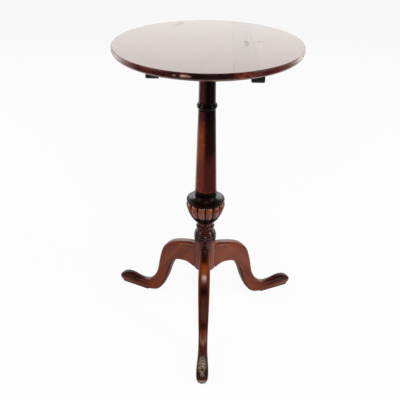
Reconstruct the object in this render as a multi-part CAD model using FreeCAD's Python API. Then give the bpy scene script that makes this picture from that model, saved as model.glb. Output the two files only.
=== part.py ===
"""Tilt-top candle stand: a round top on a hinged block, a turned and carved pillar and three cabriole legs.

Millimetres, +Z up. The origin is on the pillar's axis at floor level. The front is -Y, where one leg
points and where the catch of the top is.
"""
import FreeCAD
import Part

import math
import os

V = FreeCAD.Vector
ORIGIN = V(0, 0, 0)
UP = V(0, 0, 1)
BACK = V(0, 1, 0)

# Round top of three boards. The board widths are taken on its left-to-right diameter's ends, at the
# front and at the back of the rim, because the seams aren't parallel.
overall_height = 710.0
top_diameter = 405.0
top_thickness = 18.0
top_under_round = 13.0
top_upper_round = 2.0
top_edge_flat = 1.0
right_board_front = 101.5
right_board_back = 112.5
centre_board_front = 51.0
centre_board_back = 35.0

# Bearers under the top. Their ends stop short of the rim by an inset.
bearer_spacing = 204.5
bearer_offset = -4.25
bearer_width = 26.0
bearer_thickness = 18.0
bearer_inset_left = 32.0
bearer_inset_right = 16.0
bearer_inset_back = 27.0
bearer_end_round = 7.0
bearer_edge_round = 3.5
bearer_screw_shank = 4.0
bearer_screw_head = 8.0
bearer_screw_stagger = 6.5
bearer_screw_inset = 26.0
bearer_screw_count = 4
screw_cover = 7.0
screw_tip = 0.4

# Block, hinge and tenon
block_thickness = 28.0
block_front = 90.0
hinge_setback = 56.0
block_side_gap = 0.5
hinge_sweep_gap = 0.3
block_top_ramp = 3.0
pin_diameter = 10.0
pin_in_block = 32.0
pin_in_bearer = 16.0
tenon_diameter = 27.0
wedge_top = 4.0
wedge_tip = 1.0
wedge_cover = 6.0

# Clearances
running_gap = 0.06
fixed_gap = 0.05
glue_gap = 0.1
end_gap = 0.5
# How far a cutting shape runs past the face that it cuts
cut_margin = 1.0

# Pillar, from its foot upwards: radii and heights of the turned members
base_radius = 26.0
base_height = 84.5
base_edge_round = 1.5
reed_radii = (27.2, 27.0, 25.0)
reed_heights = (9.0, 8.0, 5.5)
reed_depth = 2.2
neck_radius = 19.8
neck_height = 10.5
neck_hollow = 1.1
bead_bulge = 2.8
bead_height = 8.0
cove_height = 17.0
cove_hollow = 1.2
collar_radius = 33.0
collar_foot_radius = 28.5
collar_height = 7.0
collar_bulge = 0.9
collar_groove = 1.0
bowl_foot_radius = 34.0
bowl_radius = 46.2
bowl_height = 32.5
bowl_crown_height = 9.0
bowl_crown_drop = 7.0
bowl_core_inset = 0.4
bowl_fullness = 0.92
lobe_count = 14
lobe_depth = 5.4
rim_groove_height = 2.0
rim_radius = 45.6
rim_height = 3.2
saucer_height = 15.2
saucer_hollow = 4.6
saucer_top_radius = 26.6
ring_groove_radius = 24.2
ring_groove_height = 1.4
ring_radius = 26.2
ring_height = 7.1
ring_bulge = 0.9
shaft_groove_depth = 1.6
shaft_groove_height = 2.4
shaft_foot_radius = 25.4
shaft_head_radius = 19.7
astragal_bulge = 2.75
astragal_height = 11.0
astragal_fillet = 3.0
astragal_step = 0.75
astragal_hollow = 0.375
astragal_drop = 82.5
collarino_radius = 19.2
pillar_head_radius = 18.4

# Legs
leg_names = ("front", "right", "left")
leg_reach = 270.0
leg_top = 197.5
leg_root_depth = 56.0
leg_thickness = 28.0
leg_outer_round = 9.0
leg_inner_round = 3.5
ankle_thickness = 21.8
toe_width = 28.0
foot_outer_round = 11.0
foot_inner_round = 5.0
sole_thickness = 5.0
sole_lap = 1.0
sole_length = 90.0
sole_setback = 6.0
sole_width = 23.0
sole_heel_width = 14.0
dovetail_depth = 12.0
dovetail_root = 13.0
dovetail_tail = 19.0
dovetail_stop = 8.0

# Outline of a leg from its root to its toe, as a point on its outer edge and a point on its inner edge.
# Distances are percent of the run from the pillar to the toe. Heights are percent of the leg's top on the
# outer edge, and percent of the way from the foot's bed to the root on the inner edge. The third value is
# the share of the way from the ankle's thickness to the leg's, or in the foot to the toe's width.
arch_stations = (
    ((-3.7, 108.5), (-3.7, 100.0), 1.0),
    ((4.9, 103.2), (4.1, 100.3), 1.0),
    ((13.2, 101.0), (12.3, 102.2), 1.0),
    ((23.5, 97.0), (18.5, 100.0), 1.0),
    ((32.1, 91.3), (22.6, 96.7), 1.0),
    ((38.7, 81.7), (25.9, 89.9), 0.95),
    ((42.2, 70.0), (28.4, 82.3), 0.85),
    ((44.5, 58.3), (30.7, 73.3), 0.7),
    ((46.2, 47.3), (32.8, 62.1), 0.55),
    ((48.2, 38.2), (35.1, 49.1), 0.4),
    ((51.3, 30.5), (38.5, 33.9), 0.2),
)
foot_stations = (
    ((56.0, 23.2), (42.4, 19.5), 0.02),
    ((61.3, 18.1), (49.0, 6.9), 0.0),
    ((67.5, 15.3), (61.3, 0.7), 0.12),
    ((75.7, 15.0), (73.7, 0.0), 0.5),
    ((84.4, 16.0), (84.4, 0.0), 0.9),
    ((91.0, 15.2), (91.5, 0.2), 1.0),
    ((96.2, 12.4), (96.8, 1.0), 0.5),
    ((98.6, 10.0), (98.9, 2.2), -0.4),
    ((99.6, 7.9), (99.8, 4.2), -1.6),
)

# Catch under the top and keeper in the block
catch_gap = 3.0
case_length = 40.0
case_width = 18.0
case_height = 11.0
case_back_wall = 3.0
flange_ledge = 12.0
flange_thickness = 2.0
flange_screw_inset = 5.0
bolt_width = 9.0
bolt_height = 6.0
bolt_bevel = 3.0
bolt_travel = 8.0
bolt_nose_gap = 1.0
bolt_gap = 0.1
spring_length = 18.0
spring_width = 5.0
spring_thickness = 0.5
spring_rise = 1.2
spring_touch = 0.02
knob_setback = 22.0
knob_neck_diameter = 4.0
knob_slot_gap = 0.2
knob_diameter = 13.0
knob_edge_round = 3.25
knob_dome = 3.2
knob_band = 1.6
knob_cove = 3.2
knob_cove_hollow = 0.8
knob_shoulder = 0.8
knob_stand_off = 1.5
knob_thread_depth = 4.0
keeper_width = 40.0
keeper_border = 4.2
keeper_thickness = 1.6
keeper_hole_gap = 0.8
keeper_screw_inset = 6.0
keeper_screw_length = 12.0
small_screw_shank = 2.6
small_screw_head = 5.2
slot_width = 0.9
slot_depth = 1.0

# Worked out from the sizes above
top_radius = top_diameter / 2
top_underside = overall_height - top_thickness
outer_seam = (top_radius - right_board_front, top_radius - right_board_back)
inner_seam = (outer_seam[0] - centre_board_front, outer_seam[1] - centre_board_back)
bearer_reach = bearer_spacing / 2 + abs(bearer_offset) + bearer_width / 2
rim_chord = math.sqrt(top_radius ** 2 - bearer_reach ** 2)
bearer_low = top_underside - bearer_thickness
bearer_back = rim_chord - bearer_inset_back
hinge_back = bearer_back - hinge_setback
hinge_z = top_underside - bearer_thickness / 2
block_underside = top_underside - block_thickness
block_half_width = bearer_spacing / 2 - bearer_width / 2 - block_side_gap
block_round = bearer_thickness / 2 - hinge_sweep_gap
tenon_radius = tenon_diameter / 2
pin_radius = pin_diameter / 2
bearer_screw_length = bearer_thickness + top_thickness - screw_cover
flange_screw_length = flange_thickness + top_thickness - screw_cover
pillar_foot = leg_top - leg_root_depth
leg_count = len(leg_names)
foot_bed = sole_thickness - sole_lap
case_front = -block_front - catch_gap
case_back = case_front - case_length
case_low = top_underside - case_height
flange_width = case_width + 2 * flange_ledge
bolt_nose = -block_front - bolt_nose_gap
bolt_rear = case_back + case_back_wall + end_gap
bolt_z = top_underside - case_height / 2
bolt_side = bearer_offset + bolt_width / 2
knob_y = bolt_nose - knob_setback
mortise_half_width = bolt_width / 2 + keeper_hole_gap
mortise_half_height = bolt_height / 2 + keeper_hole_gap


def box(x0, x1, y0, y1, z0, z1):
    return Part.makeBox(x1 - x0, y1 - y0, z1 - z0, V(x0, y0, z0))


def centred_box(width, y0, y1, z0, z1):
    """Box that is centred between the bearers in X."""
    return box(bearer_offset - width / 2, bearer_offset + width / 2, y0, y1, z0, z1)


def cylinder(radius, length, at, direction):
    return Part.makeCylinder(radius, length, at, direction)


def segment(start, end):
    return Part.LineSegment(start, end).toShape()


def arc(start, middle, end):
    return Part.Arc(start, middle, end).toShape()


def prism(edges, along):
    """Solid made by pushing the flat outline of these edges along a vector."""
    return Part.Face(Part.Wire(edges)).extrude(along)


def polygon_prism(points, along):
    return Part.Face(Part.makePolygon(list(points) + [points[0]])).extrude(along)


def place(shape, at, direction):
    """Stand a shape that was built along +Z at a point, pointing in a direction."""
    shape.Placement = FreeCAD.Placement(at, FreeCAD.Rotation(UP, direction))
    return shape


class Turning:
    """Half outline of a turned piece, in radius and height, drawn upwards from the axis."""

    def __init__(self, height):
        self.start = V(0, 0, height)
        self.here = self.start
        self.edges = []

    def line(self, radius, height):
        there = V(radius, 0, height)
        self.edges.append(segment(self.here, there))
        self.here = there

    def curve(self, radius, height, bulge):
        """Arc to a point; bulge is its rise above the chord, positive outwards."""
        there = V(radius, 0, height)
        chord = there - self.here
        outward = V(chord.z, 0, -chord.x).normalize()
        middle = (self.here + there) * 0.5 + outward * bulge
        self.edges.append(arc(self.here, middle, there))
        self.here = there

    def quarter(self, radius, height):
        """Convex quarter round to a point."""
        chord = V(radius, 0, height) - self.here
        self.curve(radius, height, chord.Length / 2 * math.tan(math.pi / 8))

    def solid(self):
        self.line(0, self.here.z)
        self.edges.append(segment(self.here, self.start))
        return Part.Face(Part.Wire(self.edges)).revolve(ORIGIN, UP, 360)


def screw_blank(shank, head, length, gap):
    """Countersunk screw pointing along +Z, with its flat head at the origin; gap widens it into a hole."""
    head_radius = head / 2 + gap
    shank_radius = shank / 2 + gap
    blank = Turning(0)
    blank.line(head_radius, 0)
    blank.line(shank_radius, head_radius - shank_radius)
    blank.line(shank_radius, length - shank)
    blank.line(screw_tip + gap, length + gap)
    return blank.solid()


def screws(points, shank, head, length, direction):
    slot = box(-head, head, -slot_width / 2, slot_width / 2, -cut_margin, slot_depth)
    one = screw_blank(shank, head, length, 0).cut(slot)
    return Part.makeCompound([place(one.copy(), at, direction) for at in points])


def screw_holes(points, shank, head, length, direction):
    return [place(screw_blank(shank, head, length, fixed_gap), at, direction) for at in points]


def side_centre(side):
    """Middle of the left (-1) or right (+1) bearer in X."""
    return bearer_offset + side * bearer_spacing / 2


def bearer_front(side):
    """Front end of a bearer in Y."""
    inset = bearer_inset_left if side < 0 else bearer_inset_right
    return inset - rim_chord


def bearer_screw_set():
    """Screws up through the bearers, staggered to both sides of each bearer's middle."""
    points = []
    for side in (-1, 1):
        first = bearer_front(side) + bearer_screw_inset
        run = bearer_back - bearer_screw_inset - first
        for i in range(bearer_screw_count):
            stagger = bearer_screw_stagger * (-1) ** (i + 1)
            y = first + run * i / (bearer_screw_count - 1)
            points.append(V(side_centre(side) + stagger, y, bearer_low))
    return points, bearer_screw_shank, bearer_screw_head, bearer_screw_length, UP


def flange_screw_set():
    """Screws up through the corners of the catch's flange."""
    x = flange_width / 2 - flange_screw_inset
    ends = (case_front - flange_screw_inset, case_back + flange_screw_inset)
    z = top_underside - flange_thickness
    points = [V(bearer_offset + side * x, y, z) for side in (-1, 1) for y in ends]
    return points, small_screw_shank, small_screw_head, flange_screw_length, UP


def keeper_screw_set():
    """Screws into the block's front edge, beside the bolt's hole."""
    x = keeper_width / 2 - keeper_screw_inset
    points = [V(bearer_offset + side * x, -block_front, bolt_z) for side in (-1, 1)]
    return points, small_screw_shank, small_screw_head, keeper_screw_length, BACK


def top_boards():
    """The round top, cut along its two seams into three boards."""
    under_round = min(top_under_round, top_thickness - top_upper_round - top_edge_flat)
    disc = Turning(top_underside)
    disc.line(top_radius - under_round, top_underside)
    disc.quarter(top_radius, top_underside + under_round)
    disc.line(top_radius, overall_height - top_upper_round)
    disc.quarter(top_radius - top_upper_round, overall_height)
    top = disc.solid().cut(screw_holes(*bearer_screw_set()) + screw_holes(*flange_screw_set()))

    def board(left, right):
        """The part of the top between two seams, each given by its x at the front and at the back."""
        corners = ((left[0], -top_radius), (right[0], -top_radius),
                   (right[1], top_radius), (left[1], top_radius))
        floor = [V(x, y, top_underside - cut_margin) for x, y in corners]
        return top.common(polygon_prism(floor, UP * (top_thickness + 2 * cut_margin)))

    edge = top_radius + cut_margin
    return {
        "top_board_left": board((-edge, -edge), inner_seam),
        "top_board_centre": board(inner_seam, outer_seam),
        "top_board_right": board(outer_seam, (edge, edge)),
    }


def bearer_bar(middle, front):
    """Bar with rounded lower edges, from which a bearer is cut."""
    bend = bearer_edge_round
    rise = bend * (1 - math.sin(math.pi / 4))
    left = middle - bearer_width / 2
    right = middle + bearer_width / 2

    def point(x, z):
        return V(x, front, z)

    edges = [
        segment(point(left, top_underside), point(right, top_underside)),
        segment(point(right, top_underside), point(right, bearer_low + bend)),
        arc(point(right, bearer_low + bend), point(right - rise, bearer_low + rise),
            point(right - bend, bearer_low)),
        segment(point(right - bend, bearer_low), point(left + bend, bearer_low)),
        arc(point(left + bend, bearer_low), point(left + rise, bearer_low + rise),
            point(left, bearer_low + bend)),
        segment(point(left, bearer_low + bend), point(left, top_underside)),
    ]
    return prism(edges, BACK * (bearer_back - front))


def bearer(side):
    """Batten with rounded lower corners at its ends and a blind hole for the hinge pin."""
    middle = side_centre(side)
    front = bearer_front(side)
    bend = bearer_end_round
    rise = bend * (1 - math.sin(math.pi / 4))

    def point(y, z):
        return V(middle - bearer_width / 2, y, z)

    edges = [
        segment(point(front, top_underside), point(bearer_back, top_underside)),
        segment(point(bearer_back, top_underside), point(bearer_back, bearer_low + bend)),
        arc(point(bearer_back, bearer_low + bend), point(bearer_back - rise, bearer_low + rise),
            point(bearer_back - bend, bearer_low)),
        segment(point(bearer_back - bend, bearer_low), point(front + bend, bearer_low)),
        arc(point(front + bend, bearer_low), point(front + rise, bearer_low + rise),
            point(front, bearer_low + bend)),
        segment(point(front, bearer_low + bend), point(front, top_underside)),
    ]
    batten = prism(edges, V(bearer_width, 0, 0)).common(bearer_bar(middle, front))
    mouth = V(middle - side * bearer_width / 2, hinge_back, hinge_z)
    hole = cylinder(pin_radius + running_gap, pin_in_bearer + end_gap, mouth, V(side, 0, 0))
    return batten.cut([hole] + screw_holes(*bearer_screw_set()))


def hinge_pin(side):
    """Pin fixed in the block, whose outer end turns in the bearer."""
    face = bearer_offset + side * block_half_width
    start = V(face - side * pin_in_block, hinge_back, hinge_z)
    return cylinder(pin_radius, pin_in_block + block_side_gap + pin_in_bearer, start, V(side, 0, 0))


def bolt_mortise():
    """Pocket in the block's front edge that takes the bolt of the catch."""
    floor = -block_front + bolt_travel + end_gap
    return centred_box(2 * mortise_half_width, -block_front - cut_margin, floor,
                       bolt_z - mortise_half_height, bolt_z + mortise_half_height)


def keeper_blank(gap):
    """Plate flush with the block's front and top; gap widens it into its recess."""
    return centred_box(keeper_width + 2 * gap, -block_front, -block_front + keeper_thickness,
                       bolt_z - mortise_half_height - keeper_border - gap, top_underside)


def tilt_block():
    """Block with a rounded back edge, so that the underside of the top sweeps past it."""
    diagonal = block_round * math.sin(math.pi / 4)
    back = hinge_back + block_round

    def point(y, z):
        return V(bearer_offset - block_half_width, y, z)

    edges = [
        segment(point(-block_front, block_underside), point(back, block_underside)),
        segment(point(back, block_underside), point(back, hinge_z)),
        arc(point(back, hinge_z), point(hinge_back + diagonal, hinge_z + diagonal),
            point(hinge_back, hinge_z + block_round)),
        segment(point(hinge_back, hinge_z + block_round), point(hinge_back - block_top_ramp, top_underside)),
        segment(point(hinge_back - block_top_ramp, top_underside), point(-block_front, top_underside)),
        segment(point(-block_front, top_underside), point(-block_front, block_underside)),
    ]
    block = prism(edges, V(2 * block_half_width, 0, 0))
    tenon_foot = V(0, 0, block_underside - cut_margin)
    holes = [cylinder(tenon_radius + fixed_gap, block_thickness + 2 * cut_margin, tenon_foot, UP)]
    for side in (-1, 1):
        mouth = V(bearer_offset + side * block_half_width, hinge_back, hinge_z)
        holes.append(cylinder(pin_radius + fixed_gap, pin_in_block + fixed_gap, mouth, V(-side, 0, 0)))
    return block.cut(holes + [keeper_blank(fixed_gap), bolt_mortise()] + screw_holes(*keeper_screw_set()))


def wedge_blank():
    """Taper that fills the slot in the tenon's top end, across the block's grain."""
    low = block_underside + wedge_cover
    outline = ((-wedge_top / 2, top_underside), (wedge_top / 2, top_underside),
               (wedge_tip / 2, low), (-wedge_tip / 2, low))
    corners = [V(x, -tenon_diameter, z) for x, z in outline]
    return polygon_prism(corners, BACK * (2 * tenon_diameter))


def tenon_wedge():
    tenon = cylinder(tenon_radius, block_thickness, V(0, 0, block_underside), UP)
    return wedge_blank().common(tenon)


def lobe_valley(crest):
    """Radius of the groove between two lobes whose crests have this radius."""
    return crest * (1 - lobe_depth / bowl_radius)


def lobed_ring(height, crest):
    """Scalloped outline of the carved bowl at one height; a groove faces the front."""
    step = 2 * math.pi / lobe_count

    def point(radius, turns):
        angle = -math.pi / 2 + turns * step
        return V(radius * math.cos(angle), radius * math.sin(angle), height)

    valley = lobe_valley(crest)
    edges = [arc(point(valley, i), point(crest, i + 0.5), point(valley, i + 1)) for i in range(lobe_count)]
    return Part.Wire(edges)


def carved_bowl(foot):
    """Bowl of convex lobes that swell from its foot and round over at the top."""
    rings = []
    for share in (0.0, 0.15, 0.35, 0.55, 0.8, 1.0):
        swell = math.sin(share * math.pi / 2) ** bowl_fullness
        crest = bowl_foot_radius + (bowl_radius - bowl_foot_radius) * swell
        rings.append(lobed_ring(foot + bowl_height * share, crest))
    for share in (0.5, 0.85, 1.0):
        crest = bowl_radius - bowl_crown_drop * (1 - math.sqrt(1 - share ** 2))
        rings.append(lobed_ring(foot + bowl_height + bowl_crown_height * share, crest))
    return Part.makeLoft(rings, True, False)


def pillar():
    """Turned pillar: plain base, reeds, bead, carved knop, tapering shaft, astragal and tenon."""
    z = pillar_foot
    turning = Turning(z)
    turning.line(base_radius - base_edge_round, z)
    turning.quarter(base_radius, z + base_edge_round)
    z += base_height
    turning.line(base_radius, z)
    for radius, height in zip(reed_radii, reed_heights):
        turning.line(radius - reed_depth, z)
        z += height
        turning.curve(radius - reed_depth, z, reed_depth)
    z += neck_height
    turning.curve(neck_radius, z, -neck_hollow)
    z += bead_height
    turning.curve(neck_radius, z, bead_bulge)
    z += cove_height
    turning.curve(collar_foot_radius, z, -cove_hollow)
    z += collar_height
    turning.curve(collar_radius, z, collar_bulge)
    core_radius = lobe_valley(bowl_foot_radius) - bowl_core_inset
    turning.line(core_radius, z)
    z += collar_groove
    bowl = carved_bowl(z)
    z += bowl_height + bowl_crown_height
    turning.line(core_radius, z)
    groove_radius = lobe_valley(bowl_radius - bowl_crown_drop) - bowl_core_inset
    turning.line(groove_radius, z)
    z += rim_groove_height
    turning.line(groove_radius, z)
    rim_edge = rim_radius - rim_height / 2
    turning.line(rim_edge, z)
    z += rim_height
    turning.curve(rim_edge, z, rim_height / 2)
    z += saucer_height
    turning.curve(saucer_top_radius, z, -saucer_hollow)
    turning.line(ring_groove_radius, z)
    z += ring_groove_height
    turning.line(ring_groove_radius, z)
    turning.line(ring_radius - ring_bulge, z)
    z += ring_height
    turning.curve(ring_radius - ring_bulge, z, ring_bulge)
    turning.line(shaft_foot_radius - shaft_groove_depth, z)
    z += shaft_groove_height
    turning.line(shaft_foot_radius - shaft_groove_depth, z)
    turning.line(shaft_foot_radius, z)
    z = block_underside - astragal_drop - astragal_height - 2 * astragal_fillet
    turning.line(shaft_head_radius, z)
    z += astragal_fillet
    turning.curve(shaft_head_radius + astragal_step, z, -astragal_hollow)
    z += astragal_height
    turning.curve(shaft_head_radius + astragal_step, z, astragal_bulge)
    z += astragal_fillet
    turning.curve(collarino_radius, z, -astragal_hollow)
    turning.line(pillar_head_radius, block_underside)
    turning.line(tenon_radius, block_underside)
    turning.line(tenon_radius, top_underside)
    sockets = [turn_leg(dovetail(glue_gap), i) for i in range(leg_count)]
    return turning.solid().fuse(bowl).cut(sockets + [wedge_blank()])


def turn_leg(shape, index):
    """Turn a piece made along +X to its leg: the first leg points to the front, the next to the right."""
    shape.rotate(ORIGIN, UP, -90 + 360.0 / leg_count * index)
    return shape


def dovetail(gap):
    """Key on the inner end of a leg, wider inside the pillar; it is slid in from below."""
    inside = base_radius - dovetail_depth - gap
    outside = base_radius + gap
    root = dovetail_root / 2 + gap
    tail = dovetail_tail / 2 + gap
    floor = (V(inside, -tail, pillar_foot), V(outside, -root, pillar_foot),
             V(outside, root, pillar_foot), V(inside, tail, pillar_foot))
    return polygon_prism(floor, UP * (leg_root_depth - dovetail_stop + gap))


def dovetail_neck():
    """Short neck that carries the dovetail across the glue line into the leg."""
    half = dovetail_root / 2
    return box(base_radius - glue_gap, base_radius + dovetail_depth / 2, -half, half,
               pillar_foot + dovetail_stop, leg_top - dovetail_stop)


def leg_section(outer, inner, width, outer_round, inner_round):
    """Rounded rectangle between a point on the leg's outer edge and a point on its inner edge."""
    run = (leg_reach - base_radius) / 100
    top = V(base_radius + run * outer[0], 0, leg_top * outer[1] / 100)
    low = V(base_radius + run * inner[0], 0, foot_bed + (pillar_foot - foot_bed) * inner[1] / 100)
    rise = (top - low).normalize()
    middle = (top + low) * 0.5
    a = width / 2
    b = (top - low).Length / 2

    def point(across, along):
        return middle + BACK * across + rise * along

    edges = []
    for s, t in ((1, 1), (-1, 1), (-1, -1), (1, -1)):
        bend = min(outer_round if t > 0 else inner_round, 0.9 * a, 0.9 * b)
        rest = bend * (1 - math.sin(math.pi / 4))
        side = point(s * a, t * (b - bend))
        end = point(s * (a - bend), t * b)
        first, last = (side, end) if s == t else (end, side)
        if edges:
            edges.append(segment(edges[-1].Vertexes[-1].Point, first))
        edges.append(arc(first, point(s * (a - rest), t * (b - rest)), last))
    edges.append(segment(edges[-1].Vertexes[-1].Point, edges[0].Vertexes[0].Point))
    return Part.Wire(edges)


def leg_sole():
    """Flat sole with round ends under the toe; it narrows towards the ankle."""
    end = leg_reach - sole_setback
    toe_bend = sole_width / 2
    heel_bend = sole_heel_width / 2
    toe = end - toe_bend
    heel = end - sole_length + heel_bend
    edges = [
        segment(V(heel, -heel_bend, 0), V(toe, -toe_bend, 0)),
        arc(V(toe, -toe_bend, 0), V(toe + toe_bend, 0, 0), V(toe, toe_bend, 0)),
        segment(V(toe, toe_bend, 0), V(heel, heel_bend, 0)),
        arc(V(heel, heel_bend, 0), V(heel - heel_bend, 0, 0), V(heel, -heel_bend, 0)),
    ]
    return prism(edges, UP * sole_thickness)


def leg(index):
    """Cabriole leg with a dovetail at its root and a thin sole under the toe."""
    sections = []
    for outer, inner, swell in arch_stations:
        width = ankle_thickness + (leg_thickness - ankle_thickness) * swell
        sections.append(leg_section(outer, inner, width, leg_outer_round, leg_inner_round))
    for outer, inner, swell in foot_stations:
        width = ankle_thickness + (toe_width - ankle_thickness) * swell
        sections.append(leg_section(outer, inner, width, foot_outer_round, foot_inner_round))
    below = box(0, leg_reach + cut_margin, -toe_width, toe_width, -sole_thickness, sole_thickness)
    crest = leg_top * max(outer[1] for outer, _, _ in arch_stations) / 100
    shoulder = cylinder(base_radius + glue_gap, crest + cut_margin, V(0, 0, 0), UP)
    body = Part.makeLoft(sections, True, False).cut([below, shoulder])
    return turn_leg(body.fuse([leg_sole(), dovetail(0), dovetail_neck()]), index)


def spring_pocket():
    """Recess beside the bolt that holds the leaf spring."""
    middle = (case_front + case_back) / 2
    half_height = spring_width / 2 + fixed_gap
    half_length = spring_length / 2 + end_gap
    floor = bolt_side + spring_touch + spring_rise + spring_thickness + fixed_gap
    return box(bolt_side, floor, middle - half_length, middle + half_length,
               bolt_z - half_height, bolt_z + half_height)


def catch_case():
    """Brass case with a screw flange, a bore for the bolt and a slot for the neck of its knob."""
    case = centred_box(case_width, case_back, case_front, case_low, top_underside)
    flange = centred_box(flange_width, case_back, case_front, top_underside - flange_thickness, top_underside)
    half_height = bolt_height / 2 + bolt_gap
    bore = centred_box(bolt_width + 2 * bolt_gap, case_back + case_back_wall, case_front + cut_margin,
                       bolt_z - half_height, bolt_z + half_height)
    half_slot = knob_neck_diameter / 2 + knob_slot_gap
    slot = centred_box(2 * half_slot, knob_y - half_slot, knob_y + bolt_travel + half_slot,
                       case_low - cut_margin, bolt_z)
    return case.fuse(flange).cut([bore, slot, spring_pocket()] + screw_holes(*flange_screw_set()))


def catch_bolt():
    """Sliding bolt with a nose bevelled below; its rest place is drawn back, clear of the block."""
    low = bolt_z - bolt_height / 2
    high = bolt_z + bolt_height / 2
    outline = ((bolt_rear, low), (bolt_nose - bolt_bevel, low), (bolt_nose, low + bolt_bevel),
               (bolt_nose, high), (bolt_rear, high))
    corners = [V(bearer_offset - bolt_width / 2, y, z) for y, z in outline]
    thread = cylinder(knob_neck_diameter / 2 + fixed_gap, knob_thread_depth + fixed_gap,
                      V(bearer_offset, knob_y, low), UP)
    return polygon_prism(corners, V(bolt_width, 0, 0)).cut(thread)


def catch_knob():
    """Turned thumb knob whose neck screws into the bolt."""
    radius = knob_diameter / 2
    neck = knob_neck_diameter / 2
    head = case_low - knob_stand_off
    z = head - knob_cove - knob_band - knob_dome
    turning = Turning(z)
    turning.line(radius - knob_edge_round, z)
    z += knob_dome
    turning.quarter(radius, z)
    z += knob_band
    turning.line(radius, z)
    turning.curve(neck + knob_shoulder, head, -knob_cove_hollow)
    turning.line(neck, head)
    turning.line(neck, bolt_z - bolt_height / 2 + knob_thread_depth)
    knob = turning.solid()
    knob.translate(V(bearer_offset, knob_y, 0))
    return knob


def catch_spring():
    """Bowed leaf spring whose belly presses on the bolt's side and holds it where it is put."""
    middle = (case_front + case_back) / 2
    belly = bolt_side + spring_touch
    end = belly + spring_rise

    def point(x, share):
        return V(x, middle + share * spring_length / 2, bolt_z - spring_width / 2)

    back = end + spring_thickness
    edges = [
        arc(point(end, -1), point(belly, 0), point(end, 1)),
        segment(point(end, 1), point(back, 1)),
        arc(point(back, 1), point(belly + spring_thickness, 0), point(back, -1)),
        segment(point(back, -1), point(end, -1)),
    ]
    return prism(edges, UP * spring_width)


def keeper_plate():
    """Brass plate let into the block's front edge, with a hole for the bolt."""
    return keeper_blank(0).cut([bolt_mortise()] + screw_holes(*keeper_screw_set()))


def nodes():
    parts = top_boards()
    for name, side in (("left", -1), ("right", 1)):
        parts["bearer_" + name] = bearer(side)
        parts["hinge_pin_" + name] = hinge_pin(side)
    parts["bearer_screws"] = screws(*bearer_screw_set())
    parts["tilt_block"] = tilt_block()
    parts["pillar"] = pillar()
    parts["tenon_wedge"] = tenon_wedge()
    for index, name in enumerate(leg_names):
        parts["leg_" + name] = leg(index)
    parts["catch_case"] = catch_case()
    parts["catch_bolt"] = catch_bolt()
    parts["catch_knob"] = catch_knob()
    parts["catch_spring"] = catch_spring()
    parts["catch_screws"] = screws(*flange_screw_set())
    parts["keeper_plate"] = keeper_plate()
    parts["keeper_screws"] = screws(*keeper_screw_set())
    return parts


os.makedirs("parts", exist_ok=True)
for node, shape in nodes().items():
    shape.exportStep("parts/" + node + ".step")
    print(node, "solids", len(shape.Solids), "valid", shape.isValid(), "volume", round(shape.Volume, 1))
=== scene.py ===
"""Looks of the tilt-top candle stand: polished old mahogany, aged brass and iron, in a white studio."""

import math

import bpy
from mathutils import Matrix, Vector


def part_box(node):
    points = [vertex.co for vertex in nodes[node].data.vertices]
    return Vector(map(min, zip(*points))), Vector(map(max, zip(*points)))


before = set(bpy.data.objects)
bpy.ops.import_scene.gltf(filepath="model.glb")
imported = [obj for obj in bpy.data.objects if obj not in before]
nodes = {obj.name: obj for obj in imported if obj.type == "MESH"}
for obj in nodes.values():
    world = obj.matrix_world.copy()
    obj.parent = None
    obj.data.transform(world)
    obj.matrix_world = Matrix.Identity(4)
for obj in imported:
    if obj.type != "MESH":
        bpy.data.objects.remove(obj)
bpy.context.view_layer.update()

# Camera fitted to the photograph, in metres and degrees
IMAGE_PIXELS = 400
FOCAL_PIXELS = 622.66
SENSOR_MM = 36.0
CAMERA_DISTANCE = 1.29447
CAMERA_HEIGHT = 1.06747
CAMERA_PITCH = 29.572
CAMERA_YAW = -0.595
CAMERA_ROLL = 0.601
CAMERA_ORBIT = 0.39

# Floor: its own white, and what reflections see of it. There the white paper lies behind an edge that
# slants back on both sides, and close to the stand the floor is partly white, more so on the right.
FLOOR_SIZE = 14.0
FLOOR_COLOUR = 0.92
FLOOR_FILL = 0.92
FLOOR_WHITE = 1.0
MIRRORED_FRONT = 0.03
PAPER_EDGE = (-0.10, 0.10)
PAPER_SLANT = 0.6
NEAR_REACH = (0.60, 0.30)
NEAR_SIDES = (0.45, 0.80)
SIDE_BLEND = (-0.2, 0.2)

# Surround: brightness where 1 is white, and the directions between which it changes
SURROUND_BACK = 0.9
SURROUND_SIDE = 0.30
SURROUND_FRONT = 0.05
TOWARD_BACK = (0.05, 0.60)
TOWARD_FRONT = (-0.15, -0.75)
BACK_LOW = (0.52, 0.38)
CEILING = (0.45, 0.80)
CEILING_SHARE = 0.2

# Lamps: place, the point that they face, width and height, brightness where 1 is white, and colour
WHITE = (1.0, 1.0, 1.0)
WARM_WHITE = (1.0, 0.965, 0.93)
PANELS = {
    "back_panel": ((0, 2.6, 1.18), (0, 0, 1.0), (4.6, 1.1), 1.04, WARM_WHITE),
    "left_back_panel": ((-1.55, 1.0, 0.45), (0, 0, 0.45), (0.9, 0.8), 2.4, WHITE),
    "right_back_panel": ((1.55, 1.0, 0.45), (0, 0, 0.45), (0.9, 0.8), 2.2, WHITE),
    "left_panel": ((-2.0, -1.0, 1.2), (0, 0, 0.4), (1.0, 1.6), 3.8, WHITE),
    "right_panel": ((2.0, -1.0, 1.1), (0, 0, 0.4), (0.8, 1.5), 7.0, WHITE),
    "overhead": ((0.16, -1.15, 2.4), (0, 0, 0.2), (0.34, 1.20), 18.0, WHITE),
}

# Wood grain: size across and along the fibres in metres, and the scale of broad cloudy patches
FIGURE_SIZE = (0.020, 0.30)
FIBRE_SIZE = (0.0022, 0.090)
PORE_SIZE = (0.0007, 0.011)
CLOUD_SCALE = 14.0
CREVICE_REACH = 0.009

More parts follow.
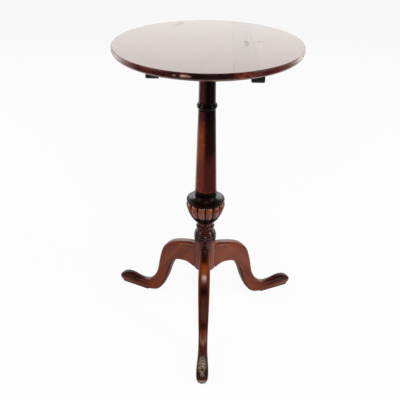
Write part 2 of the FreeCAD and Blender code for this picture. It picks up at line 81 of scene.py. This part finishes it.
# Top: its rim and faces, and the seams as x at the front and at the back of the rim
TOP_LOW, TOP_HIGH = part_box("top_board_left")
TOP_RADIUS = -TOP_LOW.x
TOP_FACE = TOP_HIGH.z
TOP_UNDERSIDE = TOP_LOW.z
INNER_SEAM = (0.050, 0.055)
OUTER_SEAM = (0.101, 0.090)
SEAM_WIDTH = 0.0013
# x beyond which the rim's ends get a painted pale reflection
RIM_REFLECTION_ENDS = (0.125, 0.175)
RIM_BLEND = (0.0032, 0.0012)
UNDER_BLEND = (0.0048, 0.0014)

# Marks on the top: a place, and how far the mark reaches from it in X, Y and Z
KNOT = ((0.0808, 0.0061, TOP_FACE), (0.006, 0.036, 0.004))
BRUISE = ((0.1068, 0.0182, TOP_FACE), (0.014, 0.006, 0.004))
SCRAPE = ((-0.1473, 0.0887, TOP_FACE), (0.007, 0.032, 0.004))
SCRAPE_TURN = 35
RING_CENTRE = (0.0083, 0.0499, TOP_FACE)
RING_RADIUS = 0.013
# A painted dark reflection on the front of the rim
RIM_DARK_REFLECTION = ((0.006, -0.2, 0.704), (0.050, 0.020, 0.03))
RIM_RED = ((0.150, -0.135, 0.703), (0.060, 0.060, 0.03))
RIM_WORN = (
    ((0.0705, -0.188, 0.7026), (0.020, 0.014, 0.006)),
    ((0.0900, -0.180, 0.7015), (0.016, 0.016, 0.006)),
)
RIM_CHIP = ((-0.0465, -0.1965, 0.7035), (0.024, 0.010, 0.0036))

# Pillar: heights of the mouldings, of the grooves between them and of the carved lobes
REEDS = (0.2260, 0.2485)
THROAT = (0.2485, 0.2838)
GROOVES = (0.2260, 0.2335, 0.2410, 0.2485, 0.2590, 0.2670, 0.2838)
GROOVE_HALF = 0.0009
MOULDING_BLEND = 0.0006
COLLAR = (0.2820, 0.3012)
LOBE_COUNT = 14
LOBE_GROOVE = (0.62, 0.92)
LOBES = (0.3005, 0.3330)
SAUCER = (0.3345, 0.3645)
ASTRAGAL = (0.5635, 0.5825)

# Pillar: the heights and sides of its dark and pale stretches, which are painted shade, painted shadow,
# painted dark reflections and painted light
NECK_SHADOW = (0.505, 0.560)
SHADE_DEEPENS = (0.425, 0.470)
SHADE_TOWARD = (0.707, -0.707, 0.0)
SHADE_EDGE = (0.42, 0.86)
LIGHT_TOWARD = (-0.62, -0.78, 0.0)
LIGHT_EDGE = (0.82, 1.08)
FRONT = (0.05, -1.0, 0.0)
BASE_FRONT_EDGE = (0.80, 0.98)
SAUCER_FRONT_EDGE = (0.35, 0.80)

# Legs: bearing of each leg, slope of its grain, and stretches as shares of half its thickness
LEG_BEARINGS = {"front": -90, "right": 30, "left": 150}
LEG_SLOPE = 40
LEG_HALF = 0.0140
CREST_SHARES = (0.82, 0.62)
MIDDLE_SHARES = (0.92, 0.25)
EDGE_SHARES = (0.45, 0.93)
EDGE_BLEND = 0.06

# Legs: heights of the dark and warm bands, which are painted shade, painted dark reflections and painted
# light, and distances from the pillar's axis
SHIN = (0.060, 0.165)
SHIN_DARK = (0.141, 0.168)
ANKLE_DARK = (0.061, 0.077)
INSTEP_DARK = (0.031, 0.036)
KNEE_DARK = (0.085, 0.060)
KNEE_LIGHT = (0.178, 0.200)
TOE_REACH = (0.15, 0.215)
TOE_FACE = (0.010, 0.022)
SOLE_TOP = 0.0051
SOLE_BLEND = 0.0006
SCUFF = ((-0.0010, -0.233, 0.034), (0.0125, 0.036, 0.020))
TOE_EDGE = ((0.0, -0.268, 0.0115), (0.017, 0.010, 0.0055))


def srgb(red, green, blue):
    """Linear colour of an 8-bit display colour."""
    def linear(value):
        share = value / 255.0
        return share / 12.92 if share <= 0.04045 else ((share + 0.055) / 1.055) ** 2.4

    return (linear(red), linear(green), linear(blue), 1.0)


# Dark, middle and light colour of each wood
RED_WOOD = (srgb(56, 14, 9), srgb(112, 42, 24), srgb(148, 70, 38))
LEG_WOOD = (srgb(60, 18, 9), srgb(125, 53, 26), srgb(152, 78, 41))
FACE_WOOD = (srgb(90, 52, 37), srgb(113, 70, 50), srgb(131, 86, 64))
STRIP_WOOD = (srgb(86, 58, 46), srgb(112, 79, 62), srgb(128, 94, 76))
DULL_WOOD = (srgb(22, 12, 10), srgb(48, 29, 23), srgb(70, 46, 36))

# Colours of dirt, wear and old polish, and of painted light, painted shade, painted shadow and painted
# reflections; the first, near black, is dirt and also painted shade in crevices, grooves and mouldings
DIRT_AND_SHADE = srgb(12, 5, 4)
TONES = {
    "rim dark": srgb(44, 9, 7),
    "rim light": srgb(88, 24, 18),
    "rim pale reflection": srgb(172, 138, 130),
    "rim dark reflection": srgb(14, 4, 4),
    "rim red": srgb(78, 12, 11),
    "rim worn": srgb(150, 74, 34),
    "bare wood": srgb(190, 164, 142),
    "shaft painted light": srgb(160, 70, 36),
    "neck": srgb(40, 8, 7),
    "shaft shade low": srgb(72, 22, 17),
    "shaft_shade": srgb(28, 3, 2),
    "shaft shade high": srgb(8, 2, 2),
    "shaft low": srgb(76, 24, 19),
    "lobe": srgb(144, 76, 52),
    "base dark reflection": srgb(24, 5, 5),
    "reed": srgb(46, 18, 17),
    "throat": srgb(52, 16, 15),
    "shin dark reflection": srgb(58, 16, 11),
    "knee painted light": srgb(172, 80, 28),
    "leg shade and mottle": srgb(14, 2, 2),
    "leg edge shade": srgb(54, 18, 11),
    "leg inside shade": srgb(44, 15, 10),
    "toe": srgb(36, 12, 12),
    "sole": srgb(34, 18, 14),
    "fleck": srgb(190, 174, 148),
    "toe edge": srgb(150, 134, 128),
    "brass": srgb(196, 152, 84),
    "brass tarnish": srgb(92, 66, 36),
    "iron": srgb(120, 116, 112),
    "rust": srgb(52, 40, 34),
}


class Tree:
    """Short calls that add nodes and links to one node tree."""

    def __init__(self, tree):
        self.tree = tree
        tree.nodes.clear()

    def add(self, kind, inputs=(), **settings):
        node = self.tree.nodes.new(kind)
        for key, value in settings.items():
            setattr(node, key, value)
        for key, value in dict(inputs).items():
            self.put(node.inputs[key], value)
        return node

    def put(self, socket, value):
        """Link a socket to another one, or give it a plain value."""
        if isinstance(value, bpy.types.NodeSocket):
            self.tree.links.new(value, socket)
        else:
            socket.default_value = value

    def math(self, operation, first, second=0.0):
        return self.add("ShaderNodeMath", {0: first, 1: second}, operation=operation).outputs[0]

    def times(self, first, second):
        return self.math("MULTIPLY", first, second)

    def vector(self, operation, first, second):
        node = self.add("ShaderNodeVectorMath", {0: first, 1: second}, operation=operation)
        return node.outputs[0]

    def dot(self, first, second):
        node = self.add("ShaderNodeVectorMath", {0: first, 1: second}, operation="DOT_PRODUCT")
        return node.outputs["Value"]

    def length(self, vector):
        return self.add("ShaderNodeVectorMath", {0: vector}, operation="LENGTH").outputs["Value"]

    def from_axis(self, place):
        """The horizontal part of a place, which leads from the pillar's axis to it."""
        return self.vector("MULTIPLY", place, (1, 1, 0))

    def mix(self, share, first, second):
        """Colour between two colours."""
        node = self.add("ShaderNodeMix", {0: share, 6: first, 7: second}, data_type="RGBA")
        return node.outputs[2]

    def step(self, value, low, high):
        """0 at low, 1 at high and smooth between them; low may be the larger one."""
        inputs = {0: value, 1: low, 2: high}
        return self.add("ShaderNodeMapRange", inputs, interpolation_type="SMOOTHSTEP").outputs[0]

    def remap(self, value, low, high):
        """Stretch 0 to 1 over low to high."""
        return self.add("ShaderNodeMapRange", {0: value, 3: low, 4: high}).outputs[0]

    def band(self, value, ends, soft):
        """1 between two ends and 0 outside them."""
        rise = self.step(value, ends[0] - soft, ends[0] + soft)
        return self.times(rise, self.step(value, ends[1] + soft, ends[1] - soft))

    def spot(self, place, at, reach):
        """1 at a place and 0 beyond its reach in X, Y and Z."""
        offset = self.vector("DIVIDE", self.vector("SUBTRACT", place, at), reach)
        return self.step(self.length(offset), 1.0, 0.45)

    def noise(self, vector, scale, detail=4.0, roughness=0.55, distortion=0.0):
        inputs = {"Vector": vector, "Scale": scale, "Detail": detail, "Roughness": roughness,
                  "Distortion": distortion}
        return self.add("ShaderNodeTexNoise", inputs).outputs[0]

    def crevice(self, reach):
        """1 on an open face and less in corners."""
        return self.add("ShaderNodeAmbientOcclusion", {"Distance": reach}, samples=8).outputs["AO"]

    def bump(self, height, strength, depth):
        inputs = {"Height": height, "Strength": strength, "Distance": depth}
        return self.add("ShaderNodeBump", inputs).outputs[0]

    def split(self, vector):
        return self.add("ShaderNodeSeparateXYZ", {0: vector}).outputs

    def turned(self, vector, angles):
        return self.add("ShaderNodeMapping", {"Vector": vector, "Rotation": angles}).outputs[0]

    def stretch(self, vector, across, along):
        """Coordinates in which the grain along Z is drawn out; across and along are in metres."""
        return self.vector("MULTIPLY", vector, (1 / across, 1 / across, 1 / along))


class Finish:
    """What a wood's marks may change: its colour, its roughness and the share of shine that is left."""

    def __init__(self, tree, place, colour, rough):
        self.tree = tree
        self.place = place
        self.colour = colour
        self.rough = rough
        self.shine = None

    def paint(self, share, colour, strength=1.0):
        """Lay a colour over the wood where share is 1."""
        self.colour = self.tree.mix(self.tree.times(share, strength), self.colour, colour)

    def dull(self, share, strength, rough=0.2):
        """Take away shine and add roughness where share is 1."""
        left = self.tree.remap(share, 1.0, 1.0 - strength)
        self.shine = left if self.shine is None else self.tree.times(left, self.shine)
        self.rough = self.tree.math("ADD", self.rough, self.tree.times(share, rough))


def new_material(label):
    material = bpy.data.materials.new(label)
    material.use_nodes = True
    return material, Tree(material.node_tree)


def wood(label, turn, tones, marks=None, gloss=0.26, shine=0.45, coat=0.25, contrast=1.0, relief=0.2,
         uneven=0.07):
    """Wood. turn brings the grain's direction to Z, gloss is its roughness, and marks adds wear, stains and
    painted light and shade. Crevices are painted near black as shade and old polish.
    """
    material, tree = new_material(label)
    place = tree.add("ShaderNodeTexCoord").outputs["Object"]
    grain = tree.turned(place, turn)
    dark, middle, light = tones

    figure = tree.noise(tree.stretch(grain, *FIGURE_SIZE), 1.0, 3.0, 0.5, 0.6)
    fibre = tree.noise(tree.stretch(grain, *FIBRE_SIZE), 1.0, 3.0, 0.6)
    pores = tree.noise(tree.stretch(grain, *PORE_SIZE), 1.0, 2.0, 0.5)
    clouds = tree.noise(place, CLOUD_SCALE, 3.0, 0.5)

    colour = tree.mix(tree.times(tree.step(figure, 0.52, 0.32), contrast), middle, dark)
    colour = tree.mix(tree.times(tree.step(figure, 0.54, 0.74), contrast), colour, light)
    colour = tree.mix(tree.times(tree.step(fibre, 0.60, 0.36), 0.35 * contrast), colour, dark)
    colour = tree.mix(tree.times(tree.step(pores, 0.60, 0.70), 0.5 * contrast), colour, dark)
    colour = tree.mix(tree.times(tree.step(clouds, 0.45, 0.70), 0.30), colour, light)

    polish = tree.remap(tree.noise(place, 38.0, 3.0), gloss - uneven, gloss + uneven)
    finish = Finish(tree, place, colour, polish)
    if marks:
        marks(finish)
    # Painted shade with old polish: crevices are painted near black.
    finish.paint(tree.step(tree.crevice(CREVICE_REACH), 0.72, 0.36), DIRT_AND_SHADE, 0.92)

    height = tree.math("SUBTRACT", tree.times(fibre, 0.35), tree.times(pores, 0.5))
    inputs = {"Base Color": finish.colour, "Roughness": finish.rough,
              "Normal": tree.bump(height, relief, 0.0004)}
    shader = tree.add("ShaderNodeBsdfPrincipled", inputs)
    shader.inputs["IOR"].default_value = 1.5
    shader.inputs["Coat Roughness"].default_value = 0.10
    for name, level in (("Coat Weight", coat), ("Specular IOR Level", shine)):
        shader.inputs[name].default_value = level
        if finish.shine is not None:
            tree.put(shader.inputs[name], tree.times(finish.shine, level))
    tree.add("ShaderNodeOutputMaterial", {"Surface": shader.outputs[0]})
    return material


def seam(tree, x, y, ends):
    """1 on a seam of the top, which runs from front to back."""
    slant = (ends[1] - ends[0]) / (2 * TOP_RADIUS)
    offset = tree.math("SUBTRACT", x, tree.times(y, slant))
    offset = tree.math("SUBTRACT", offset, (ends[0] + ends[1]) / 2)
    return tree.step(tree.math("ABSOLUTE", offset), SEAM_WIDTH, SEAM_WIDTH * 0.35)


def face_marks(finish, x, y):
    """Seams, stains and scratches of the top's face."""
    tree, place = finish.tree, finish.place
    streaks = tree.noise(tree.vector("MULTIPLY", place, (90, 6, 1)), 1.0, 4.0, 0.6)
    blooms = tree.noise(place, 9.0, 3.0)
    finish.dull(tree.step(blooms, 0.40, 0.70), 0.02, 0.0)
    strip = tree.times(tree.step(x, *INNER_SEAM), tree.step(x, *OUTER_SEAM))
    finish.dull(strip, 0.03, 0.0)
    for ends in (INNER_SEAM, OUTER_SEAM):
        line = seam(tree, x, y, ends)
        broken = tree.times(line, tree.remap(tree.step(streaks, 0.35, 0.60), 0.35, 1.0))
        finish.paint(broken, DIRT_AND_SHADE, 0.3)
        finish.dull(broken, 0.04, 0.05)

    knot = tree.spot(place, *KNOT)
    bruise = tree.spot(place, *BRUISE)
    scrape = tree.spot(tree.turned(place, (0, 0, math.radians(SCRAPE_TURN))), *SCRAPE)
    for share, strength in ((knot, 0.09), (bruise, 0.15), (scrape, 0.06)):
        speckled = tree.times(share, tree.step(tree.noise(place, 260.0, 3.0), 0.40, 0.60))
        finish.paint(speckled, DIRT_AND_SHADE, 0.5)
        finish.dull(speckled, strength)
    from_ring = tree.length(tree.vector("SUBTRACT", place, RING_CENTRE))
    from_ring = tree.math("ABSOLUTE", tree.math("SUBTRACT", from_ring, RING_RADIUS))
    stain = tree.times(tree.step(from_ring, 0.0050, 0.0010), tree.step(streaks, 0.42, 0.62))
    finish.dull(stain, 0.014, 0.03)


def rim_marks(finish, x):
    """The rim: dark red, painted pale at its ends as a reflection, with a painted dark reflection at its
    front, worn places and a chip.
    """
    tree, place = finish.tree, finish.place
    rim = tree.step(tree.length(tree.from_axis(place)), *(TOP_RADIUS - blend for blend in RIM_BLEND))
    wear = tree.step(tree.noise(place, 120.0, 4.0, 0.6), 0.40, 0.56)
    patches = tree.step(tree.noise(place, 34.0, 3.0), 0.38, 0.66)
    finish.paint(rim, tree.mix(patches, TONES["rim dark"], TONES["rim light"]))
    # Painted reflection: the rim's ends are painted pale, more strongly on the right.
    ends = tree.times(rim, tree.step(tree.math("ABSOLUTE", x), *RIM_REFLECTION_ENDS))
    finish.paint(ends, TONES["rim pale reflection"], tree.remap(tree.step(x, -0.1, 0.1), 0.6, 0.8))
    finish.dull(rim, 0.55, 0.12)
    # Painted dark reflection on the rim's front.
    finish.paint(tree.times(rim, tree.spot(place, *RIM_DARK_REFLECTION)), TONES["rim dark reflection"], 0.85)
    finish.paint(tree.times(rim, tree.spot(place, *RIM_RED)), TONES["rim red"], 0.75)
    for mark in RIM_WORN:
        worn = tree.times(tree.times(rim, tree.spot(place, *mark)), wear)
        finish.paint(worn, TONES["rim worn"], 0.6)
    chip = tree.times(tree.spot(place, *RIM_CHIP), wear)
    finish.paint(chip, TONES["bare wood"], 0.85)
    finish.dull(chip, 0.8)


def top_marks(finish):
    """Marks of the boards: face, rim and raw underside."""
    tree = finish.tree
    x, y, z = tree.split(finish.place)
    face_marks(finish, x, y)
    rim_marks(finish, x)
    under = tree.step(z, *(TOP_UNDERSIDE + blend for blend in UNDER_BLEND))
    finish.paint(under, DULL_WOOD[1], 0.85)
    finish.dull(under, 0.85, 0.1)


def shaft_marks(finish, z, outward):
    """Painted light on the left front of the shaft, painted shade and dark reflection on its right front,
    deeper towards the top, a painted shadow of the top on the neck, and a darker lower shaft.
    """
    tree, place = finish.tree, finish.place
    ragged = tree.times(tree.noise(tree.vector("MULTIPLY", place, (70, 70, 4)), 1.0, 3.0), 0.18)
    shaft = tree.step(z, SAUCER[1], SAUCER[1] + 0.004)
    neck = tree.step(z, *NECK_SHADOW)

    # Painted light on the left front of the shaft.
    pale = tree.step(tree.math("ADD", tree.dot(outward, LIGHT_TOWARD), ragged), *LIGHT_EDGE)
    finish.paint(tree.times(pale, shaft), TONES["shaft painted light"], 0.6)
    # Painted shadow of the top on the neck.
    finish.paint(neck, TONES["neck"], 0.85)
    # Painted shade and dark reflection on the right front of the shaft, deeper towards the top.
    shaft_shade = tree.step(tree.math("ADD", tree.dot(outward, SHADE_TOWARD), ragged), *SHADE_EDGE)
    shaft_shade = tree.times(shaft_shade, shaft)
    deep = tree.mix(tree.step(z, *SHADE_DEEPENS), TONES["shaft shade low"], TONES["shaft_shade"])
    finish.paint(shaft_shade, tree.mix(neck, deep, TONES["shaft shade high"]), 0.97)
    finish.dull(shaft_shade, 0.6, 0.0)
    low = tree.times(shaft, tree.step(z, *SHADE_DEEPENS[::-1]))
    finish.paint(low, TONES["shaft low"], 0.5)


def knop_marks(finish, z, outward):
    """Lobes that are rubbed brown, with grooves between them painted dark as shade and dirt."""
    tree = finish.tree
    rubbed = tree.step(tree.noise(finish.place, 60.0, 3.0), 0.30, 0.62)
    carved = tree.band(z, LOBES, 0.001)
    finish.paint(tree.times(carved, rubbed), TONES["lobe"], 0.8)
    x, y, _ = tree.split(outward)
    turns = tree.times(tree.math("ARCTAN2", x, tree.times(y, -1.0)), LOBE_COUNT)
    groove = tree.step(tree.math("COSINE", turns), *LOBE_GROOVE)
    # Painted shade and dirt in the grooves between the lobes.
    finish.paint(tree.times(carved, groove), DIRT_AND_SHADE, 0.9)


def moulding_marks(finish, z, outward):
    """Darker mouldings and grooves, with the collar, saucer, astragal and grooves painted near black as
    shade and old polish, a painted dark reflection on the base's front, and less shine on the saucer's
    front.
    """
    tree = finish.tree
    toward_front = tree.dot(outward, FRONT)
    # Painted dark reflection on the front of the base, below the reeds.
    below_reeds = tree.step(z, REEDS[0] + 0.001, REEDS[0] - 0.001)
    base_front = tree.times(tree.step(toward_front, *BASE_FRONT_EDGE), below_reeds)
    finish.paint(base_front, TONES["base dark reflection"], 0.75)

    # Painted shade and old polish: the collar under the bowl, the saucer and the astragal are painted near
    # black; the reeds and the throat are painted darker.
    # Ends, colour, strength of the colour and share of the shine that is lost
    mouldings = (
        (REEDS, TONES["reed"], 0.85, 0.0),
        (THROAT, TONES["throat"], 0.85, 0.3),
        (COLLAR, DIRT_AND_SHADE, 0.97, 0.9),
        (SAUCER, DIRT_AND_SHADE, 0.97, 0.25),
        (ASTRAGAL, DIRT_AND_SHADE, 0.95, 0.6),
    )
    for ends, colour, strength, dulled in mouldings:
        moulding = tree.band(z, ends, MOULDING_BLEND)
        finish.paint(moulding, colour, strength)
        finish.dull(moulding, dulled, -0.06)
    saucer_front = tree.step(toward_front, *SAUCER_FRONT_EDGE)
    finish.dull(tree.times(tree.band(z, SAUCER, MOULDING_BLEND), saucer_front), 0.8, 0.16)
    # Painted shade and old polish in the turned grooves.
    for height in GROOVES:
        groove = tree.band(z, (height - GROOVE_HALF, height + GROOVE_HALF), MOULDING_BLEND)
        finish.paint(groove, DIRT_AND_SHADE, 0.95)
        finish.dull(groove, 0.8)


def pillar_marks(finish):
    """Marks of the pillar, from its shaft to its base."""
    tree = finish.tree
    z = tree.split(finish.place)[2]
    outward = tree.vector("NORMALIZE", tree.from_axis(finish.place), (0, 0, 0))
    shaft_marks(finish, z, outward)
    knop_marks(finish, z, outward)
    moulding_marks(finish, z, outward)


def front_foot_marks(finish):
    """Scuffed instep and pale edge of the front toe."""
    tree, place = finish.tree, finish.place
    rubbed = tree.step(tree.noise(place, 260.0, 4.0, 0.65), 0.43, 0.60)
    flecks = tree.times(tree.spot(place, *SCUFF), rubbed)
    finish.paint(flecks, TONES["fleck"], 0.85)
    finish.dull(flecks, 0.6)
    finish.paint(tree.spot(place, *TOE_EDGE), TONES["toe edge"], 0.75)


def leg_marks(bearing, is_front):
    """Marks of one leg: dark bands of painted shade and dark reflection over a random mottle, dull edges and
    inside painted dark as shade, painted light on the front knee, a dark toe and sole; bolder on the front
    leg.
    """
    angle = math.radians(bearing)
    outward = (math.cos(angle), math.sin(angle), 0.0)
    shade_and_mottle_strength = 0.95 if is_front else 0.4
    edge_strength, edge_dulled = (0.4, 0.85) if is_front else (0.1, 0.6)

    def marks(finish):
        tree, place = finish.tree, finish.place
        across = tree.math("ABSOLUTE", tree.split(tree.turned(place, (0, 0, -angle)))[1])
        z = tree.split(place)[2]
        out = tree.length(tree.from_axis(place))
        crest = tree.step(across, *(LEG_HALF * share for share in CREST_SHARES))
        middle = tree.step(across, *(LEG_HALF * share for share in MIDDLE_SHARES))
        edges = tree.band(across, [LEG_HALF * share for share in EDGE_SHARES], LEG_HALF * EDGE_BLEND)

        # Painted dark reflection along the crest of the shin.
        finish.paint(tree.times(crest, tree.band(z, SHIN, 0.012)), TONES["shin dark reflection"], 0.7)
        # Random mottle, with bands of painted shade and dark reflection across the shin, ankle and instep
        # and near the pillar.
        shade_and_mottle = tree.times(tree.step(tree.noise(place, 24.0, 2.0), 0.40, 0.62), 0.35)
        for ends, soft in ((SHIN_DARK, 0.014), (ANKLE_DARK, 0.014), (INSTEP_DARK, 0.006)):
            shade_and_mottle = tree.math("MAXIMUM", shade_and_mottle, tree.band(z, ends, soft))
        shade_and_mottle = tree.math("MAXIMUM", shade_and_mottle, tree.step(out, *KNEE_DARK))
        # Painted light on the front leg's knee.
        if is_front:
            finish.paint(tree.times(middle, tree.band(z, KNEE_LIGHT, 0.010)), TONES["knee painted light"], 0.7)
        finish.paint(tree.times(middle, shade_and_mottle), TONES["leg shade and mottle"], shade_and_mottle_strength)
        # Painted shade on the rounded edges of the leg.
        finish.paint(edges, TONES["leg edge shade"], edge_strength)
        finish.dull(edges, edge_dulled, 0.05)

        # Painted shade on the faces turned toward the pillar.
        normal = tree.add("ShaderNodeNewGeometry").outputs["Normal"]
        inside = tree.step(tree.dot(normal, outward), -0.2, -0.5)
        finish.paint(inside, TONES["leg inside shade"], 0.6)
        finish.dull(inside, 0.85, 0.1)
        toe = tree.times(tree.step(out, *TOE_REACH), tree.step(z, *TOE_FACE))
        finish.paint(toe, TONES["toe"], 0.85)
        finish.dull(toe, 0.55, 0.05)
        finish.paint(tree.step(z, SOLE_TOP + SOLE_BLEND, SOLE_TOP), TONES["sole"], 0.9)
        if is_front:
            front_foot_marks(finish)

    return marks


def metal(label, clean, tarnish, gloss):
    """Old metal with tarnish in patches and in its corners, and fine rubbing marks."""
    material, tree = new_material(label)
    place = tree.add("ShaderNodeTexCoord").outputs["Object"]
    patches = tree.noise(place, 180.0, 5.0, 0.6)
    rubbing = tree.noise(tree.vector("MULTIPLY", place, (300.0, 2500.0, 300.0)), 1.0, 2.0)
    corners = tree.step(tree.crevice(0.003), 0.75, 0.35)
    age = tree.math("MAXIMUM", tree.step(patches, 0.48, 0.66), corners)
    height = tree.math("ADD", rubbing, tree.times(patches, 0.6))
    inputs = {"Base Color": tree.mix(age, clean, tarnish), "Roughness": tree.remap(age, gloss, gloss + 0.25),
              "Normal": tree.bump(height, 0.2, 0.0002)}
    shader = tree.add("ShaderNodeBsdfPrincipled", inputs)
    shader.inputs["Metallic"].default_value = 1.0
    tree.add("ShaderNodeOutputMaterial", {"Surface": shader.outputs[0]})
    return material


def dress(material, *names):
    for name in names:
        mesh = nodes[name].data
        mesh.materials.clear()
        mesh.materials.append(material)


def dress_top(along_y):
    polish = {"shine": 0.5, "coat": 0.5, "contrast": 0.4, "relief": 0.004, "uneven": 0.01}
    face = wood("mahogany_face", along_y, FACE_WOOD, top_marks, gloss=0.22, **polish)
    dress(face, "top_board_left", "top_board_right")
    strip = wood("grey_strip", along_y, STRIP_WOOD, top_marks, gloss=0.24, **polish)
    dress(strip, "top_board_centre")


def dress_legs():
    """The grain of each leg slopes down along its own bearing."""
    polish = {"gloss": 0.24, "shine": 0.34, "coat": 0.14, "contrast": 0.42}
    for name, bearing in LEG_BEARINGS.items():
        to_bearing = Matrix.Rotation(math.radians(-bearing), 3, "Z")
        turn = (Matrix.Rotation(math.radians(LEG_SLOPE), 3, "Y") @ to_bearing).to_euler()
        marks = leg_marks(bearing, name == "front")
        dress(wood("mahogany_leg_" + name, turn, LEG_WOOD, marks, **polish), "leg_" + name)


def dress_object():
    """A material for every piece of the stand."""
    along_x = (0, math.radians(90), 0)
    along_y = (math.radians(90), 0, 0)
    along_z = (0, 0, 0)
    raw = {"gloss": 0.45, "shine": 0.35, "coat": 0.0}
    dress_top(along_y)
    dress_legs()
    pillar = wood("mahogany_pillar", along_z, RED_WOOD, pillar_marks, shine=0.4, coat=0.2, contrast=0.6)
    dress(pillar, "pillar")
    dress(wood("dull_bearer", along_y, DULL_WOOD, **raw), "bearer_left", "bearer_right")
    dress(wood("dull_block", along_x, DULL_WOOD, **raw), "tilt_block", "hinge_pin_left", "hinge_pin_right")
    dress(wood("dull_wedge", along_z, DULL_WOOD, **raw), "tenon_wedge")
    brass = metal("aged_brass", TONES["brass"], TONES["brass tarnish"], 0.28)
    dress(brass, "catch_case", "catch_bolt", "catch_knob", "catch_spring", "catch_screws", "keeper_plate",
          "keeper_screws")
    dress(metal("worn_iron", TONES["iron"], TONES["rust"], 0.38), "bearer_screws")


def build_floor():
    """Pale floor that keeps the stand's shadow. In reflections its white paper ends at the stand."""
    bpy.ops.mesh.primitive_plane_add(size=FLOOR_SIZE)
    floor = bpy.context.object
    floor.name = "floor"
    material, tree = new_material("white_floor")
    seen = tree.add("ShaderNodeLightPath").outputs
    place = tree.add("ShaderNodeTexCoord").outputs["Object"]
    x, y, _ = tree.split(place)
    behind = tree.math("SUBTRACT", y, tree.times(tree.math("ABSOLUTE", x), PAPER_SLANT))
    near = tree.step(tree.length(tree.from_axis(place)), *NEAR_REACH)
    near = tree.times(near, tree.remap(tree.step(x, *SIDE_BLEND), *NEAR_SIDES))
    paper = tree.math("MAXIMUM", tree.step(behind, *PAPER_EDGE), near)
    paper = tree.math("MAXIMUM", seen["Is Camera Ray"], paper)
    mirrored = tree.math("MAXIMUM", seen["Is Glossy Ray"], seen["Is Transmission Ray"])
    share = tree.times(tree.math("MAXIMUM", seen["Is Camera Ray"], mirrored), FLOOR_FILL)
    paint = tree.add("ShaderNodeBsdfDiffuse", {"Color": (FLOOR_COLOUR, FLOOR_COLOUR, FLOOR_COLOUR, 1)})
    white = tree.add("ShaderNodeEmission", {"Strength": tree.remap(paper, MIRRORED_FRONT, FLOOR_WHITE)})
    blend = tree.add("ShaderNodeMixShader", {0: share, 1: paint.outputs[0], 2: white.outputs[0]})
    tree.add("ShaderNodeOutputMaterial", {"Surface": blend.outputs[0]})
    floor.data.materials.append(material)


def build_studio():
    """Surround that is bright behind the stand, dim in front of it, and white to the camera."""
    world = bpy.data.worlds.new("studio")
    bpy.context.scene.world = world
    world.use_nodes = True
    tree = Tree(world.node_tree)
    _, y, z = tree.split(tree.add("ShaderNodeTexCoord").outputs["Generated"])
    back = tree.times(tree.step(y, *TOWARD_BACK), tree.step(z, *BACK_LOW))
    front = tree.remap(tree.step(y, *TOWARD_FRONT), 1.0, SURROUND_FRONT / SURROUND_SIDE)
    ceiling = tree.remap(tree.step(z, *CEILING), 1.0, CEILING_SHARE)
    level = tree.times(tree.times(tree.remap(back, SURROUND_SIDE, SURROUND_BACK), front), ceiling)
    light = tree.add("ShaderNodeBackground", {"Color": level})
    white = tree.add("ShaderNodeBackground", {"Strength": 1.0, "Color": (1, 1, 1, 1)})
    seen = tree.add("ShaderNodeLightPath").outputs
    mirrored = tree.math("MAXIMUM", seen["Is Glossy Ray"], seen["Is Transmission Ray"])
    share = tree.math("MAXIMUM", seen["Is Camera Ray"], tree.times(mirrored, back))
    blend = tree.add("ShaderNodeMixShader", {0: share, 1: light.outputs[0], 2: white.outputs[0]})
    tree.add("ShaderNodeOutputWorld", {"Surface": blend.outputs[0]})


def light_studio():
    """Rectangular lamps, which the camera doesn't see."""
    for name, (at, toward, size, brightness, colour) in PANELS.items():
        lamp = bpy.data.lights.new(name, "AREA")
        lamp.shape = "RECTANGLE"
        lamp.size, lamp.size_y = size
        lamp.energy = brightness * math.pi * size[0] * size[1]
        lamp.color = colour
        holder = bpy.data.objects.new(name, lamp)
        holder.location = at
        holder.rotation_euler = (Vector(toward) - Vector(at)).to_track_quat("-Z", "Y").to_euler()
        holder.visible_camera = False
        bpy.context.scene.collection.objects.link(holder)


def build_camera():
    """Camera in front of the stand, aimed by its pitch and yaw, rolled, and carried round the stand."""
    pitch, yaw, roll = (math.radians(angle) for angle in (CAMERA_PITCH, CAMERA_YAW, CAMERA_ROLL))
    level = math.cos(pitch)
    ahead = Vector((math.sin(yaw) * level, math.cos(yaw) * level, -math.sin(pitch)))
    right = Vector((math.cos(yaw), -math.sin(yaw), 0))
    down = ahead.cross(right)
    axis_x = right * math.cos(roll) - down * math.sin(roll)
    axis_y = -(right * math.sin(roll) + down * math.cos(roll))
    turn = Matrix((axis_x, axis_y, -ahead)).transposed().to_4x4()
    data = bpy.data.cameras.new("camera")
    data.sensor_width = SENSOR_MM
    data.lens = FOCAL_PIXELS * SENSOR_MM / IMAGE_PIXELS
    camera = bpy.data.objects.new("camera", data)
    place = Matrix.Translation((0, -CAMERA_DISTANCE, CAMERA_HEIGHT)) @ turn
    camera.matrix_world = Matrix.Rotation(math.radians(CAMERA_ORBIT), 4, "Z") @ place
    bpy.context.scene.collection.objects.link(camera)
    bpy.context.scene.camera = camera


bpy.context.scene.view_settings.view_transform = "Standard"
dress_object()
build_floor()
build_studio()
light_studio()
build_camera()
